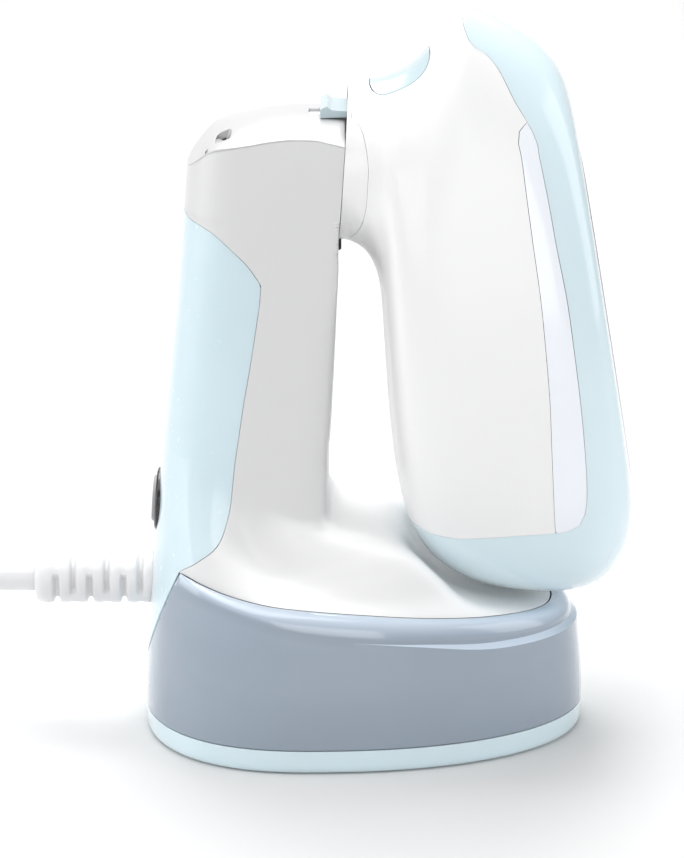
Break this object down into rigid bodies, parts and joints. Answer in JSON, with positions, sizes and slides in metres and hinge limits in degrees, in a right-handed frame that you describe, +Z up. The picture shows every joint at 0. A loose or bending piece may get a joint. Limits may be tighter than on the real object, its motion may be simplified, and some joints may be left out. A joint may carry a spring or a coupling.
{
  "type": "handheld garment steamer",
  "caption": "Foldable handheld garment steamer standing folded on its water tank: handle column with a swinging steam head, trigger, fold lock, power button and slide-off tank.",
  "frame": {"origin": "middle of the flat underside of the tank base, where the folded steamer rests on a table", "axes": "+Z up; +X is the direction the steam plate faces, away from the handle; the XZ plane is the middle of the object, and the user's right side is -Y"},
  "size_m": [0.1933, 0.088, 0.2069],
  "materials": {
    "white_plastic": "satin moulded",
    "inner_white_plastic": "matt moulded",
    "light_blue_plastic": "gloss, slightly milky",
    "smoky_tank_plastic": "gloss, tinted",
    "pearl_trim": "pearl gloss",
    "black_plastic": "fine satin",
    "grey_plastic": "satin",
    "cord_plastic": "soft matt",
    "silicone_hose": "soft matt",
    "black_rubber": "matt",
    "spring_steel": "bright",
    "cast_aluminium": "cast, lightly brushed",
    "brass": "plain",
    "board_green": "coated board"
  },
  "bodies": {
    "handle": {"body_shell": "white_plastic", "rear_cover": "light_blue_plastic", "handle_top_cap": "white_plastic", "hinge_hub": "cast_aluminium", "stop_bumper": "black_rubber", "lock_spring": "spring_steel", "button_bezel_ring": "black_plastic", "power_switch": "black_plastic", "strain_relief": "cord_plastic", "power_cord": "cord_plastic", "cord_clamp": "grey_plastic", "clamp_screw_left": "spring_steel", "clamp_screw_right": "spring_steel", "base_chassis": "inner_white_plastic", "inlet_spigot": "grey_plastic", "water_pump": "grey_plastic", "inlet_hose": "silicone_hose", "outlet_hose": "silicone_hose", "control_board": "board_green", "board_relay": "black_plastic"},
    "head": {"head_shell": "white_plastic", "front_bezel": "light_blue_plastic", "side_trim_left": "pearl_trim", "side_trim_right": "pearl_trim", "trigger_switch": "black_plastic", "trigger_spring": "spring_steel", "friction_washer": "inner_white_plastic", "neck_flange": "inner_white_plastic", "retaining_ring": "spring_steel", "steam_plate": "cast_aluminium", "plate_gasket": "black_rubber", "boiler_block": "cast_aluminium", "heating_element": "spring_steel", "thermostat": "spring_steel", "thermal_fuse": "brass", "heat_shield": "spring_steel", "steam_hose": "silicone_hose", "head_screw_left": "spring_steel", "head_screw_right": "spring_steel"},
    "trigger": {"steam_trigger": "light_blue_plastic"},
    "lock": {"fold_lock_slider": "light_blue_plastic"},
    "button": {"power_button": "grey_plastic"},
    "tank": {"water_tank": "smoky_tank_plastic", "tank_base": "light_blue_plastic", "filler_plug": "black_rubber", "tank_valve": "grey_plastic", "rubber_foot_1": "black_rubber", "rubber_foot_2": "black_rubber", "rubber_foot_3": "black_rubber", "rubber_foot_4": "black_rubber"}
  },
  "joints": [
    {"name": "head_fold", "type": "hinge", "parent": "handle", "child": "head", "pos_m": [-0.00545, 0, 0.164], "axis": [0.998, 0, -0.0628], "range_deg": [0, 180]},
    {"name": "trigger_press", "type": "slide", "parent": "head", "child": "trigger", "axis": [0.27, 0, -0.9629], "range_m": [0, 0.003], "stiffness_N_per_m": 400, "deforming": ["trigger_spring"]},
    {"name": "fold_lock_slide", "type": "slide", "parent": "handle", "child": "lock", "axis": [-1, 0, 0], "range_m": [0, 0.004], "stiffness_N_per_m": 300, "deforming": ["lock_spring"]},
    {"name": "power_button_press", "type": "slide", "parent": "handle", "child": "button", "axis": [0.9976, 0, -0.0698], "range_m": [0, 0.0012], "stiffness_N_per_m": 600},
    {"name": "tank_slide", "type": "slide", "parent": "handle", "child": "tank", "axis": [0, 0, -1], "range_m": [0, 0.045]}
  ]
}
